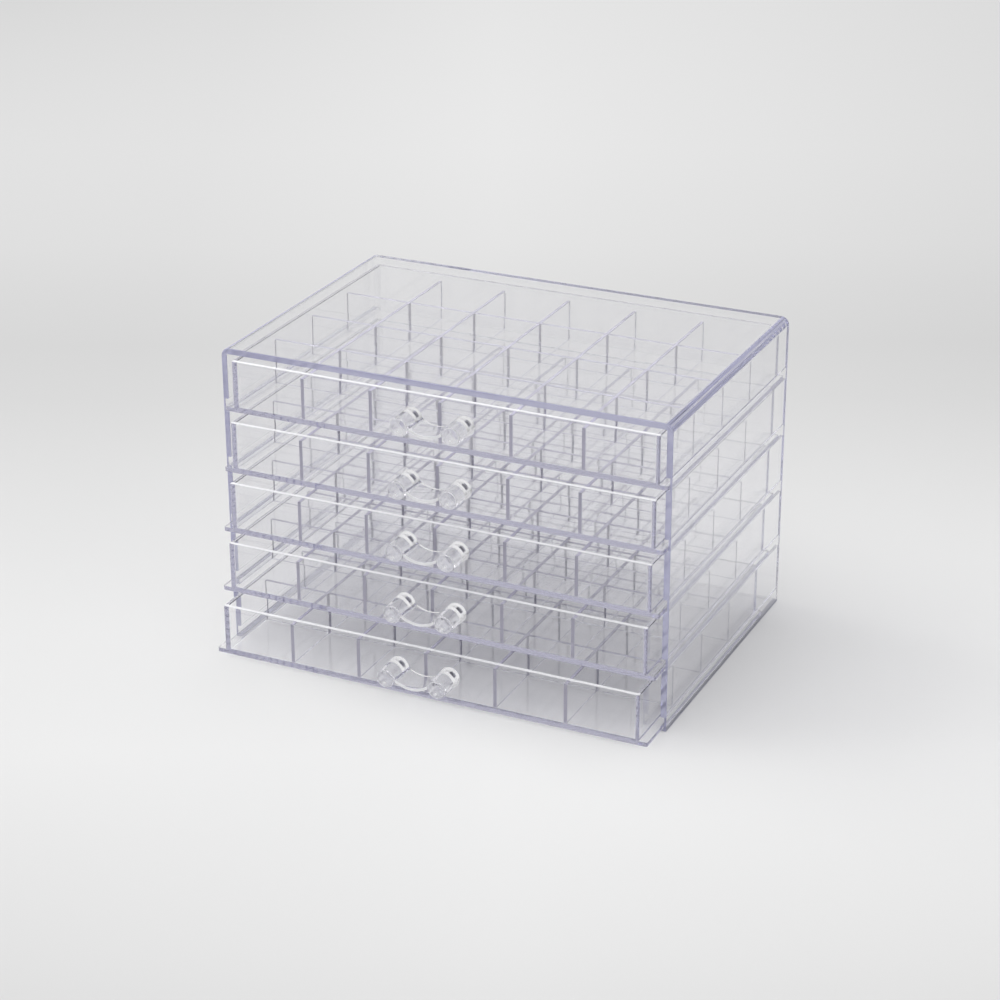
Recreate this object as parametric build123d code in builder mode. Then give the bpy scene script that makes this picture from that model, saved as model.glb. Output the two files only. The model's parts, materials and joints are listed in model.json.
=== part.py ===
"""Clear jewellery organizer: an open-fronted case with divided drawers that slide in grooves.

Millimetres. X runs across the front, Y from front to back, Z up. The origin is on the surface
that the organizer stands on, under the middle of the whole object in its resting pose, where
each drawer is drawn out a little farther than the one above it, and the lowest one most.
"""
import os

from build123d import *

# Case: top, back and two side walls in one piece, open at the front and below
case_width = 240.0
case_depth = 160.0
case_height = 160.0
case_wall = 3.0
case_edge_radius = 4.5
case_inner_radius = 0.5
case_back_radius = 2.4
case_lip_round = 0.4

# Runner grooves, cut into the inner faces of the side walls
groove_skin = 1.0
groove_room = 3.8
groove_round = 0.5
runner_lip = 1.2
runner_play = 0.15
flange_play = 0.6

# Drawers
drawer_count = 5
drawer_gap = 4.6
headroom = 3.1
side_gap = 3.1
back_play = 1.0
tray_wall = 2.2
floor_thickness = 2.2
rim_round = 0.4
corner_round = 0.8
first_pull = 1.0
pull_step = 3.6
lowest_pull_extra = 4.5

# Film of air between flat faces that lie together without being joined
air_film = 0.05

# Divider strips, halved over each other and standing on the drawer's floor
columns = 6
rows = 4
strip_thickness = 1.8
strip_drop = 3.4
strip_play = 0.25
slot_play = 0.12
strip_round = 0.25

# Handle: two tapered posts and the trough-shaped web between them
post_spacing = 27.8
post_root_radius = 5.4
post_tip_radius = 4.7
post_reach = 16.0
post_dome = 0.7
post_tip_round = 0.9
post_rise = 1.0
peg_radius = 2.0
peg_play = 0.1
web_thickness = 1.4
web_dip = 2.2
web_setback = 1.2
web_sink = 0.7
web_flare = 0.5
web_landing = 45.0

# Places that follow from the sizes above
inner_width = case_width - 2 * case_wall
inner_depth = case_depth - case_wall
groove_depth = case_wall - groove_skin
groove_height = groove_room + floor_thickness + runner_play

stack_height = case_height - case_wall - headroom - runner_lip - runner_play
drawer_height = (stack_height - (drawer_count - 1) * drawer_gap) / drawer_count
drawer_pitch = drawer_height + drawer_gap

tray_width = inner_width - 2 * side_gap
tray_depth = inner_depth - back_play
flange_width = inner_width + 2 * (groove_depth - flange_play)
well_width = tray_width - 2 * tray_wall
well_depth = tray_depth - 2 * tray_wall
strip_height = drawer_height - floor_thickness - air_film - strip_drop
column_pitch = (well_width + strip_thickness) / columns
row_pitch = (well_depth + strip_thickness) / rows
slot_width = strip_thickness + 2 * slot_play
slot_height = strip_height / 2 + slot_play

longest_pull = first_pull + (drawer_count - 1) * pull_step + lowest_pull_extra
case_front = (post_reach + longest_pull) / 2 - case_depth / 2
case_back = case_front + case_depth


def drawer_pull(number):
    """How far drawer number stands out of the case; number 1 is the top drawer."""
    if number == drawer_count:
        return longest_pull
    return first_pull + (number - 1) * pull_step


def drawer_base(number):
    """Height of the underside of drawer number."""
    return runner_lip + runner_play + (drawer_count - number) * drawer_pitch


def drawer_front(number):
    """Y of the front face of drawer number."""
    return case_front - drawer_pull(number)


def upright_plane(y):
    """A plane across the organizer at y, seen from the front, its height measured along Z."""
    return Plane.XZ.offset(-y)


def make_case():
    """The case, with one pair of runner grooves for each drawer."""
    with BuildPart() as case:
        with BuildSketch(upright_plane(case_back)) as outline:
            with Locations((0, case_height / 2)):
                Rectangle(case_width, case_height)
            fillet(outline.vertices().group_by(Axis.Y)[-1], case_edge_radius)
        extrude(amount=case_depth)
        with BuildSketch(upright_plane(case_back - case_wall)) as hollow:
            with Locations((0, (case_height - case_wall) / 2)):
                Rectangle(inner_width, case_height - case_wall)
            fillet(hollow.vertices().group_by(Axis.Y)[-1], case_inner_radius)
            for number in range(1, drawer_count + 1):
                groove_middle = drawer_base(number) - runner_play + groove_height / 2
                with Locations((0, groove_middle)):
                    Rectangle(inner_width + 2 * groove_depth, groove_height)
            top_of_grooves = drawer_base(1) + groove_height
            lips = hollow.vertices().filter_by_position(Axis.Y, runner_lip / 2, top_of_grooves)
            lips = lips.filter_by(lambda v: abs(v.X) < (inner_width + groove_depth) / 2)
            fillet(lips, min(groove_round, runner_lip / 2, groove_depth / 3))
        extrude(amount=inner_depth, mode=Mode.SUBTRACT)
        back_edges = case.edges().group_by(Axis.Y)[-1].sort_by(Axis.Z)[1:]
        fillet(back_edges, min(case_back_radius, case_wall - case_lip_round))
        front_face = case.faces().sort_by(Axis.Y)[0]
        outer_edges = front_face.edges().filter_by(
            lambda e: abs(e.center().X) > inner_width / 2 + groove_depth
            or e.center().Z > case_height - case_wall / 2
        )
        fillet(outer_edges, min(case_lip_round, groove_skin / 3))
    return case.part


def make_tray(number):
    """One drawer: a floor whose long edges run in the grooves, and four walls on it."""
    middle = drawer_front(number) + tray_depth / 2
    base = drawer_base(number)
    with BuildPart() as tray:
        with BuildSketch(Plane.XY.offset(base)):
            with Locations((0, middle)):
                RectangleRounded(flange_width, tray_depth, corner_round)
        extrude(amount=floor_thickness)
        with BuildSketch(Plane.XY.offset(base + floor_thickness)):
            with Locations((0, middle)):
                RectangleRounded(tray_width, tray_depth, corner_round)
                RectangleRounded(well_width, well_depth, corner_round / 2, mode=Mode.SUBTRACT)
        extrude(amount=drawer_height - floor_thickness)
        rim = tray.faces().sort_by(Axis.Z)[-1].edges()
        fillet(rim, min(rim_round, tray_wall / 3))
        with BuildSketch(upright_plane(drawer_front(number) + tray_wall)):
            with Locations((0, post_height(number))):
                with GridLocations(post_spacing, 0, 2, 1):
                    Circle(peg_radius + peg_play)
        extrude(amount=tray_wall, mode=Mode.SUBTRACT)
    return tray.part


def post_height(number):
    """Height of the handle's two axes on drawer number."""
    return drawer_base(number) + drawer_height / 2 + post_rise


def make_handle(number):
    """One handle: posts pegged into the drawer's front, joined by a web that sags between them.

    A film of air is left between the drawer's front and the posts and web that lie against it.
    """
    front = drawer_front(number)
    height = post_height(number)
    with BuildPart() as handle:
        for side in (-1, 1):
            post_x = side * post_spacing / 2
            along = Plane(origin=(post_x, front, height), x_dir=(0, -1, 0), z_dir=(1, 0, 0))
            tip = (post_reach - post_dome, post_tip_radius)
            with BuildSketch(along) as profile:
                with BuildLine():
                    Polyline(
                        (post_reach, 0),
                        (-tray_wall, 0),
                        (-tray_wall, peg_radius),
                        (air_film, peg_radius),
                        (air_film, post_root_radius),
                        tip,
                    )
                    TangentArc((post_reach, 0), tip, tangent=(0, 1))
                make_face()
                fillet(profile.vertices().sort_by_distance(tip)[0], post_tip_round)
            revolve(axis=Axis((post_x, front, height), (0, -1, 0)))
        landing = Vector(post_tip_radius - web_sink, 0).rotate(Axis.Z, web_landing)
        joint_x = post_spacing / 2 - landing.X
        upper_z = height + landing.Y
        lower_z = upper_z - web_thickness - web_flare
        trough_z = height - web_dip
        with BuildSketch(upright_plane(front - air_film)):
            with BuildLine():
                ThreePointArc((-joint_x, upper_z), (0, trough_z), (joint_x, upper_z))
                Line((joint_x, upper_z), (joint_x, lower_z))
                ThreePointArc((joint_x, lower_z), (0, trough_z - web_thickness), (-joint_x, lower_z))
                Line((-joint_x, lower_z), (-joint_x, upper_z))
            make_face()
        extrude(amount=post_reach - web_setback - air_film)
    return handle.part


def make_long_divider(number, column):
    """One strip from front to back, slotted from below where the cross strips pass."""
    x = -well_width / 2 - strip_thickness / 2 + column * column_pitch
    middle = drawer_front(number) + tray_depth / 2
    base = drawer_base(number) + floor_thickness + air_film
    with BuildPart() as strip:
        with BuildSketch(Plane.YZ.offset(x - strip_thickness / 2)):
            with Locations((middle, base + strip_height / 2)):
                Rectangle(well_depth - 2 * strip_play, strip_height)
            with Locations((middle, base + slot_height / 2)):
                with GridLocations(row_pitch, 0, rows - 1, 1):
                    Rectangle(slot_width, slot_height, mode=Mode.SUBTRACT)
        extrude(amount=strip_thickness)
        fillet(strip.faces().sort_by(Axis.Z)[-1].edges().filter_by(Axis.Y), strip_edge())
    return strip.part


def make_cross_divider(number, row):
    """One strip from side to side, slotted from above where the long strips pass."""
    y = drawer_front(number) + tray_wall - strip_thickness / 2 + row * row_pitch
    base = drawer_base(number) + floor_thickness + air_film
    with BuildPart() as strip:
        with BuildSketch(upright_plane(y + strip_thickness / 2)):
            with Locations((0, base + strip_height / 2)):
                Rectangle(well_width - 2 * strip_play, strip_height)
            with Locations((0, base + strip_height - slot_height / 2)):
                with GridLocations(column_pitch, 0, columns - 1, 1):
                    Rectangle(slot_width, slot_height, mode=Mode.SUBTRACT)
        extrude(amount=strip_thickness)
        fillet(strip.faces().group_by(Axis.Z)[-1].edges().filter_by(Axis.X), strip_edge())
    return strip.part


def strip_edge():
    """Rounding of a strip's top edges, never more than the strip can take."""
    return min(strip_round, strip_thickness / 3)


def save(part, label):
    """Label a finished piece and write it under its own name."""
    part.label = label
    export_step(part, f"parts/{label}.step")


os.makedirs("parts", exist_ok=True)
save(make_case(), "case_shell")
for drawer in range(1, drawer_count + 1):
    save(make_tray(drawer), f"drawer_{drawer}_tray")
    save(make_handle(drawer), f"drawer_{drawer}_handle")
    for column in range(1, columns):
        save(make_long_divider(drawer, column), f"drawer_{drawer}_long_divider_{column}")
    for row in range(1, rows):
        save(make_cross_divider(drawer, row), f"drawer_{drawer}_cross_divider_{row}")
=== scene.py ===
"""The clear jewellery organizer's looks: moulded clear plastic on a pale studio floor.

Metres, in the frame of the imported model: X across the front, Y from front to back, Z up.
"""
import json
import math

import bpy
from mathutils import Matrix, Vector


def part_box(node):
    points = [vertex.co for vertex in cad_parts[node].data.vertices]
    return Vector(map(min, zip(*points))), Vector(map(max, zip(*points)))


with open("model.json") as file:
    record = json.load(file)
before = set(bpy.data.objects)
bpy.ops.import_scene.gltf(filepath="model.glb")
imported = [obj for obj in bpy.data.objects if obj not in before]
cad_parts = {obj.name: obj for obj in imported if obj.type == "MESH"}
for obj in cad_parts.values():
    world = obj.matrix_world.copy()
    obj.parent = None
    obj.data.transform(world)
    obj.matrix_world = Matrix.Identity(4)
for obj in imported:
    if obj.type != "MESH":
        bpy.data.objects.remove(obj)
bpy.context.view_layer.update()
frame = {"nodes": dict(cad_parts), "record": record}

# The camera, fitted to the corners of the case in the photograph
photo_pixels = 1000
focal_pixels = 2610.9
sensor_width = 36.0
camera_place = Vector((0.5208, -1.0941, 0.6154))
camera_yaw = math.radians(-25.345)
camera_pitch = math.radians(24.043)
camera_roll = math.radians(-0.217)

# The clear plastic, tinted in its depth: the case least, the divider strips most
plastic_index = 1.49
plastic_color = (0.996, 0.996, 0.998)
shadow_color = (0.88, 0.88, 0.89)
case_tint = (0.50, 0.50, 0.76)
case_density = 4.0
drawer_tint = (0.55, 0.54, 0.71)
drawer_density = 7.0
divider_tint = (0.50, 0.49, 0.68)
divider_density = 10.0

# The polish: fine waves in the surface, and a roughness that grows in soft patches
case_roughness = 0.01
case_waviness = 0.04
tray_roughness = 0.012
tray_waviness = 0.06
handle_roughness = 0.006
handle_waviness = 0.05
divider_roughness = 0.015
divider_waviness = 0.08
wave_scale = 55.0
wave_detail = 2.0
wave_height = 0.0004
patch_scale = 140.0
patch_detail = 4.0
patch_start = 0.45
patch_end = 0.75
patch_gain = 2.5

# Matt places of the case: its feet, the side walls' in painted contact shade, its front edges, and
# its two rounded outer edges in painted edge light
foot_band = 0.0003
side_foot = 0.1165
# Painted contact shade: the side walls' feet are painted darker than the back wall's foot
side_foot_painted_shade = (0.32, 0.32, 0.42)
back_foot_paleness = (0.97, 0.97, 0.98)
foot_share = 0.9
lip_band = 0.0004
lip_paleness = (0.47, 0.47, 0.64)
lip_share = 0.6
case_edge_radius = 0.0045
# Painted edge light: a lit lavender on the rounded outer edges, broken into fine light and dark
# streaks
edge_light_start = 0.0048
edge_light_width = 0.0006
edge_light_paint = (0.46, 0.46, 0.63)
edge_light_share = 0.7
line_scale = 1500.0
line_detail = 2.0
line_stretch = 0.01
line_start = 0.25
line_end = 0.6

# Painted highlights of the drawers, in matt white: the front rims, and the posts' tips, a glint
# below each tip's centre and the web of the handles
rim_band = 0.0002
rim_reach = 0.0018
highlight_paleness = (0.92, 0.92, 0.94)
highlight_share = 0.85
post_root_radius = 0.0054
ring_radius = 0.0042
ring_reach = 0.0006
web_radius = 0.0049
web_reach = 0.0013
edge_softness = 0.0003
# The painted glint: a small spot below the centre of each post's tip
glint_drop = 0.0018
glint_radius = 0.0011

# Matt places of the divider strips: the faces that look along a strip or upward
strip_end_paleness = (0.56, 0.54, 0.66)
strip_end_share = 0.75
strip_top_share = 0.6
end_facing = (0.9, 0.95)
top_facing = (0.3, 0.6)

# The floor's painted pool of light, along and across the camera's line of sight
floor_size = 8.0
floor_drop = 0.0004
# A share of the floor glows, unshadowed, where it is seen straight, in gloss or through the
# plastic: painted light that lifts its shadows there
floor_glow = 0.20
pool_near = -0.45
pool_far = 1.45
pool_side = 1.5

# Painted light on the floor: its paleness along the line of sight, with a painted darker band
# behind the organizer, and a painted fade from left to right
painted_pool_stops = (
    (0.00, 0.640),
    (0.08, 0.745),
    (0.17, 0.825),
    (0.24, 0.800),
    (0.33, 0.725),
    (0.41, 0.655),
    (0.46, 0.635),
    (0.52, 0.665),
    (0.57, 0.700),
    (0.70, 0.755),
    (1.00, 0.830),
)
painted_fade_stops = (
    (0.27, 0.770),
    (0.42, 0.890),
    (0.50, 1.000),
    (0.58, 1.000),
    (0.67, 0.980),
)

# The room's light, by the sine of its height above the horizon
room_strength = 0.74
room_stops = ((0.0, 1.0), (0.5, 1.0), (1.0, 0.75))

# The room's dark screen: how far to the left it starts, how high it reaches, how dark it is
screen_edge = -0.5
screen_top = 0.45
screen_softness = 0.15
screen_depth = 0.7

# The lamps: each one's place, the point that it looks at, its side and its power in watts
key_lamp = ((-1.35, -0.15, 1.3), (0, 0, 0.08), 1.3, 20)
top_lamp = ((-0.1, -0.1, 1.9), (0, 0, 0.1), 1.4, 9)

# Bounces of light that are followed: through clear walls, off gloss, off matt faces, in shadow
sight_bounces = 128
gloss_bounces = 96
matt_bounces = 2
shadow_bounces = 64


def new_material(name):
    """An empty node material, its nodes and its output."""
    material = bpy.data.materials.new(name)
    material.use_nodes = True
    material.node_tree.nodes.clear()
    out = material.node_tree.nodes.new("ShaderNodeOutputMaterial")
    return material, material.node_tree, out


def add(tree, kind, inputs=None, **settings):
    """A new node of a kind, whose inputs are plain values or the outputs of other nodes."""
    node = tree.nodes.new(kind)
    for key, value in settings.items():
        setattr(node, key, value)
    for key, value in (inputs or {}).items():
        if isinstance(value, bpy.types.NodeSocket):
            tree.links.new(value, node.inputs[key])
        else:
            node.inputs[key].default_value = value
    return node


def maths(tree, operation, *values):
    """The result of one sum, of outputs or of plain numbers."""
    node = add(tree, "ShaderNodeMath", dict(enumerate(values)), operation=operation)
    return node.outputs["Value"]


def squares(tree, first, second):
    """The sum of the squares of two numbers."""
    first_square = maths(tree, "MULTIPLY", first, first)
    second_square = maths(tree, "MULTIPLY", second, second)
    return maths(tree, "ADD", first_square, second_square)


def step(tree, value, start, end):
    """A mask that turns from 0 at start to 1 at end, whichever is larger."""
    limits = {"Value": value, "From Min": start, "From Max": end}
    return add(tree, "ShaderNodeMapRange", limits).outputs["Result"]


def split(tree, vector):
    """The three coordinates of a vector."""
    parts = add(tree, "ShaderNodeSeparateXYZ", {"Vector": vector}).outputs
    return parts["X"], parts["Y"], parts["Z"]


def place(tree):
    """The place of a point of the part at rest."""
    return add(tree, "ShaderNodeTexCoord").outputs["Object"]


def noise(tree, vector, scale, detail):
    """Soft random patches, as a number from 0 to 1."""
    patches = add(tree, "ShaderNodeTexNoise", {"Vector": vector, "Scale": scale, "Detail": detail})
    return patches.outputs["Fac"]


def grey_ramp(tree, value, stops):
    """A ramp of plain greys over a number from the nodes."""
    ramp = add(tree, "ShaderNodeValToRGB", {"Fac": value})
    elements = ramp.color_ramp.elements
    elements.remove(elements[1])
    for number, (spot, grey) in enumerate(stops):
        element = elements.new(spot) if number else elements[0]
        element.position = spot
        element.color = (grey, grey, grey, 1)
    return ramp.outputs["Color"]


def blend(tree, share, first, second):
    """Two shaders in one: all of the first at a share of 0, all of the second at 1."""
    return add(tree, "ShaderNodeMixShader", {0: share, 1: first, 2: second}).outputs["Shader"]


def foot_mask(tree):
    """The mask of the case's lowest faces, which stand on the floor."""
    height = split(tree, place(tree))[2]
    return step(tree, height, foot_band, foot_band / 2)


def side_foot_shade_mask(tree):
    """The mask of the painted contact shade on the feet of the case's two side walls."""
    side = maths(tree, "ABSOLUTE", split(tree, place(tree))[0])
    beyond = step(tree, side, side_foot, side_foot + foot_band)
    return maths(tree, "MULTIPLY", beyond, foot_mask(tree))


def lip_mask(low):
    """A maker of the mask of the front edges of the case, whose lowest corner is given."""

    def mask(tree):
        y = split(tree, place(tree))[1]
        return step(tree, y, low[1] + lip_band, low[1] + lip_band / 2)

    return mask


def edge_light_mask(high):
    """A maker of the mask of the painted edge light on the case's two rounded outer edges along Y,
    in fine streaks.
    """
    corner = high[0] + high[2] - 2 * case_edge_radius

    def mask(tree):
        x, y, z = split(tree, place(tree))
        outward = maths(tree, "SUBTRACT", maths(tree, "ADD", maths(tree, "ABSOLUTE", x), z), corner)
        edge = step(tree, outward, edge_light_start, edge_light_start + edge_light_width)
        along = maths(tree, "MULTIPLY", y, line_stretch)
        drawn_out = add(tree, "ShaderNodeCombineXYZ", {"X": x, "Y": along, "Z": z})
        lines = noise(tree, drawn_out.outputs["Vector"], line_scale, line_detail)
        return maths(tree, "MULTIPLY", edge, step(tree, lines, line_start, line_end))

    return mask


def rim_highlight_mask(low, high):
    """A maker of the mask of the painted highlight on a drawer's front rim, whose tray has the
    given corners.
    """

    def mask(tree):
        y, z = split(tree, place(tree))[1:]
        top = step(tree, z, high[2] - rim_band, high[2] - rim_band / 2)
        front = step(tree, y, low[1] + rim_reach + edge_softness, low[1] + rim_reach)
        return maths(tree, "MULTIPLY", top, front)

    return mask


def handle_highlight_mask(low, high):
    """A maker of the mask of a handle's painted highlights: tip rings, a glint spot on each tip and
    the web's front.
    """
    axis_x = high[0] - post_root_radius
    axis_z = high[2] - post_root_radius

    def mask(tree):
        x, y, z = split(tree, place(tree))
        across = maths(tree, "SUBTRACT", maths(tree, "ABSOLUTE", x), axis_x)
        upward = maths(tree, "SUBTRACT", z, axis_z)
        radius = maths(tree, "SQRT", squares(tree, across, upward))
        off_glint = maths(tree, "SQRT", squares(tree, across, maths(tree, "ADD", upward, glint_drop)))
        ring = step(tree, radius, ring_radius, ring_radius + edge_softness)
        glint = step(tree, off_glint, glint_radius, glint_radius / 2)
        tip = step(tree, y, low[1] + ring_reach + edge_softness, low[1] + ring_reach)
        web = step(tree, radius, web_radius, web_radius + edge_softness)
        front = step(tree, y, low[1] + web_reach + edge_softness, low[1] + web_reach)
        tips = maths(tree, "MULTIPLY", maths(tree, "MAXIMUM", ring, glint), tip)
        return maths(tree, "MAXIMUM", tips, maths(tree, "MULTIPLY", web, front))

    return mask


def end_mask(axis):
    """A maker of the mask of a strip's ends and slots, and less so of its top edges.

    The axis is 0 for a strip along X and 1 for one along Y.
    """

    def mask(tree):
        facing = split(tree, add(tree, "ShaderNodeTexCoord").outputs["Normal"])
        end = step(tree, maths(tree, "ABSOLUTE", facing[axis]), *end_facing)
        top = step(tree, facing[2], *top_facing)
        return maths(tree, "MAXIMUM", end, maths(tree, "MULTIPLY", top, strip_top_share))

    return mask


def polish(tree, roughness):
    """A roughness that grows in soft patches."""
    limits = {
        "Value": noise(tree, place(tree), patch_scale, patch_detail),
        "From Min": patch_start,
        "From Max": patch_end,
        "To Min": roughness,
        "To Max": roughness * patch_gain,
    }
    return add(tree, "ShaderNodeMapRange", limits).outputs["Result"]


def waves(tree, waviness):
    """The slope of the fine waves that moulding leaves in a surface."""
    height = noise(tree, place(tree), wave_scale, wave_detail)
    bump = {"Height": height, "Strength": waviness, "Distance": wave_height}
    return add(tree, "ShaderNodeBump", bump).outputs["Normal"]


def clear_plastic(name, tint, density, roughness, waviness, *matt_places):
    """Clear moulded plastic: tinted depth, fine waves, a little haze, and matt places, among them
    painted highlights, painted shade and painted edge light.

    Each matt place is the maker of its mask, with the paleness and the share of a matt shader.
    """
    material, tree, out = new_material(name)
    look = {
        "Base Color": (*plastic_color, 1),
        "Transmission Weight": 1.0,
        "IOR": plastic_index,
        "Roughness": polish(tree, roughness),
        "Normal": waves(tree, waviness),
    }
    surface = add(tree, "ShaderNodeBsdfPrincipled", look).outputs["BSDF"]
    for mask, paleness, share in matt_places:
        matt_paint = add(tree, "ShaderNodeBsdfDiffuse", {"Color": (*paleness, 1)})
        cover = maths(tree, "MULTIPLY", mask(tree), share)
        surface = blend(tree, cover, surface, matt_paint.outputs["BSDF"])

    shade = add(tree, "ShaderNodeBsdfTransparent", {"Color": (*shadow_color, 1)})
    in_shadow = add(tree, "ShaderNodeLightPath").outputs["Is Shadow Ray"]
    surface = blend(tree, in_shadow, surface, shade.outputs["BSDF"])
    tree.links.new(surface, out.inputs["Surface"])

    depth = add(tree, "ShaderNodeVolumeAbsorption", {"Color": (*tint, 1), "Density": density})
    tree.links.new(depth.outputs["Volume"], out.inputs["Volume"])
    return material


def case_look():
    """The case's plastic, matt on its feet, front edges and rounded outer edges: painted contact
    shade on the side walls' feet and painted edge light on the rounded edges.
    """
    low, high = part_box("case_shell")
    return clear_plastic(
        "case_plastic",
        case_tint,
        case_density,
        case_roughness,
        case_waviness,
        (edge_light_mask(high), edge_light_paint, edge_light_share),
        (lip_mask(low), lip_paleness, lip_share),
        (foot_mask, back_foot_paleness, foot_share),
        (side_foot_shade_mask, side_foot_painted_shade, foot_share),
    )


def tray_look(body):
    """The plastic of one drawer's tray, with a painted highlight in matt white on its front rim."""
    return clear_plastic(
        f"{body}_tray_plastic",
        drawer_tint,
        drawer_density,
        tray_roughness,
        tray_waviness,
        (rim_highlight_mask(*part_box(f"{body}_tray")), highlight_paleness, highlight_share),
    )


def handle_look(body):
    """The plastic of one drawer's handle, with painted highlights in matt white on the posts' tips
    and the web's front.
    """
    return clear_plastic(
        f"{body}_handle_plastic",
        drawer_tint,
        drawer_density,
        handle_roughness,
        handle_waviness,
        (handle_highlight_mask(*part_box(f"{body}_handle")), highlight_paleness, highlight_share),
    )


def strip_look(run, axis):
    """The plastic of the strips that run one way, pale on their ends and tops."""
    return clear_plastic(
        f"{run}_divider_plastic",
        divider_tint,
        divider_density,
        divider_roughness,
        divider_waviness,
        (end_mask(axis), strip_end_paleness, strip_end_share),
    )


def dress():
    """Gives every CAD piece its clear plastic."""
    strips = {"_long_divider_": strip_look("long", 1), "_cross_divider_": strip_look("cross", 0)}
    for body, nodes in frame["record"]["behaviour"]["bodies"].items():
        if body == "case":
            looks = {"case_shell": case_look()}
        else:
            looks = {"_tray": tray_look(body), "_handle": handle_look(body), **strips}
        for name in nodes:
            look = next(looks[kind] for kind in looks if kind in name)
            for slot in frame["nodes"][name].material_slots:
                slot.material = look


def make_floor():
    """A pale floor with painted light: a pool of light round the organizer, a darker band behind
    it, and a share that glows where it is seen.
    """
    bpy.ops.mesh.primitive_plane_add(size=floor_size, location=(0, 0, -floor_drop))
    floor = bpy.context.object
    floor.name = "studio_floor"
    material, tree, out = new_material("studio_floor")
    turn = {"Vector": place(tree), "Angle": camera_yaw}
    turned = add(tree, "ShaderNodeVectorRotate", turn, rotation_type="Z_AXIS")
    across, along = split(tree, turned.outputs["Vector"])[:2]
    # The painted pool of light, times the painted fade across it
    pool = grey_ramp(tree, step(tree, along, pool_near, pool_far), painted_pool_stops)
    fade = grey_ramp(tree, step(tree, across, -pool_side, pool_side), painted_fade_stops)
    greys = {"Factor": 1.0, "A": pool, "B": fade}
    paint = add(tree, "ShaderNodeMix", greys, data_type="RGBA", blend_type="MULTIPLY")
    color = paint.outputs["Result"]

    glow = add(tree, "ShaderNodeEmission", {"Color": color})
    matte = add(tree, "ShaderNodeBsdfDiffuse", {"Color": color})
    rays = add(tree, "ShaderNodeLightPath").outputs
    seen = maths(tree, "MAXIMUM", rays["Is Camera Ray"], rays["Is Glossy Ray"])
    seen = maths(tree, "MAXIMUM", seen, rays["Is Transmission Ray"])
    share = maths(tree, "MULTIPLY", seen, floor_glow)
    surface = blend(tree, share, matte.outputs["BSDF"], glow.outputs["Emission"])
    tree.links.new(surface, out.inputs["Surface"])
    floor.data.materials.append(material)


def make_world():
    """A soft room: bright walls, dimmer overhead, and a dark screen low down on the left.

    The camera doesn't see the screen itself, only how it darkens what the plastic shows.
    """
    world = bpy.data.worlds.new("studio_room")
    bpy.context.scene.world = world
    world.use_nodes = True
    tree = world.node_tree
    tree.nodes.clear()
    out = tree.nodes.new("ShaderNodeOutputWorld")
    direction = split(tree, add(tree, "ShaderNodeTexCoord").outputs["Generated"])
    left = step(tree, direction[0], screen_edge, screen_edge - screen_softness)
    low = step(tree, direction[2], screen_top + screen_softness, screen_top)
    seen = add(tree, "ShaderNodeLightPath").outputs["Is Camera Ray"]
    depth = maths(tree, "MULTIPLY", maths(tree, "SUBTRACT", 1.0, seen), screen_depth)
    screen = maths(tree, "MULTIPLY", maths(tree, "MULTIPLY", left, low), depth)
    light = maths(tree, "MULTIPLY", maths(tree, "SUBTRACT", 1.0, screen), room_strength)
    room = {"Color": grey_ramp(tree, direction[2], room_stops), "Strength": light}
    back = add(tree, "ShaderNodeBackground", room)
    tree.links.new(back.outputs["Background"], out.inputs["Surface"])


def softbox(name, spot, target, side, power):
    """A square area lamp that looks at a point."""
    lamp = bpy.data.lights.new(name, "AREA")
    lamp.shape = "SQUARE"
    lamp.size = side
    lamp.energy = power
    holder = bpy.data.objects.new(name, lamp)
    bpy.context.scene.collection.objects.link(holder)
    holder.location = spot
    holder.rotation_euler = (Vector(target) - Vector(spot)).to_track_quat("-Z", "Y").to_euler()


def make_camera():
    """The camera at the photograph's place."""
    lens = bpy.data.cameras.new("camera")
    lens.sensor_width = sensor_width
    lens.lens = focal_pixels * sensor_width / photo_pixels
    holder = bpy.data.objects.new("camera", lens)
    bpy.context.scene.collection.objects.link(holder)
    level = Vector((math.sin(camera_yaw), math.cos(camera_yaw), 0))
    forward = level * math.cos(camera_pitch) - Vector((0, 0, math.sin(camera_pitch)))
    right = Vector((math.cos(camera_yaw), -math.sin(camera_yaw), 0))
    up = right.cross(forward)
    rolled_right = right * math.cos(camera_roll) + up * math.sin(camera_roll)
    rolled_up = up * math.cos(camera_roll) - right * math.sin(camera_roll)
    turn = Matrix((rolled_right, rolled_up, -forward)).transposed()
    holder.matrix_world = Matrix.Translation(camera_place) @ turn.to_4x4()
    bpy.context.scene.camera = holder


def set_light_paths():
    """Enough bounces for sight to pass through every wall of the stacked drawers."""
    cycles = bpy.context.scene.cycles
    cycles.max_bounces = sight_bounces
    cycles.transmission_bounces = sight_bounces
    cycles.glossy_bounces = gloss_bounces
    cycles.diffuse_bounces = matt_bounces
    cycles.transparent_max_bounces = shadow_bounces


dress()
make_floor()
make_world()
softbox("key_softbox", *key_lamp)
softbox("top_softbox", *top_lamp)
make_camera()
set_light_paths()
bpy.context.scene.view_settings.view_transform = "Standard"
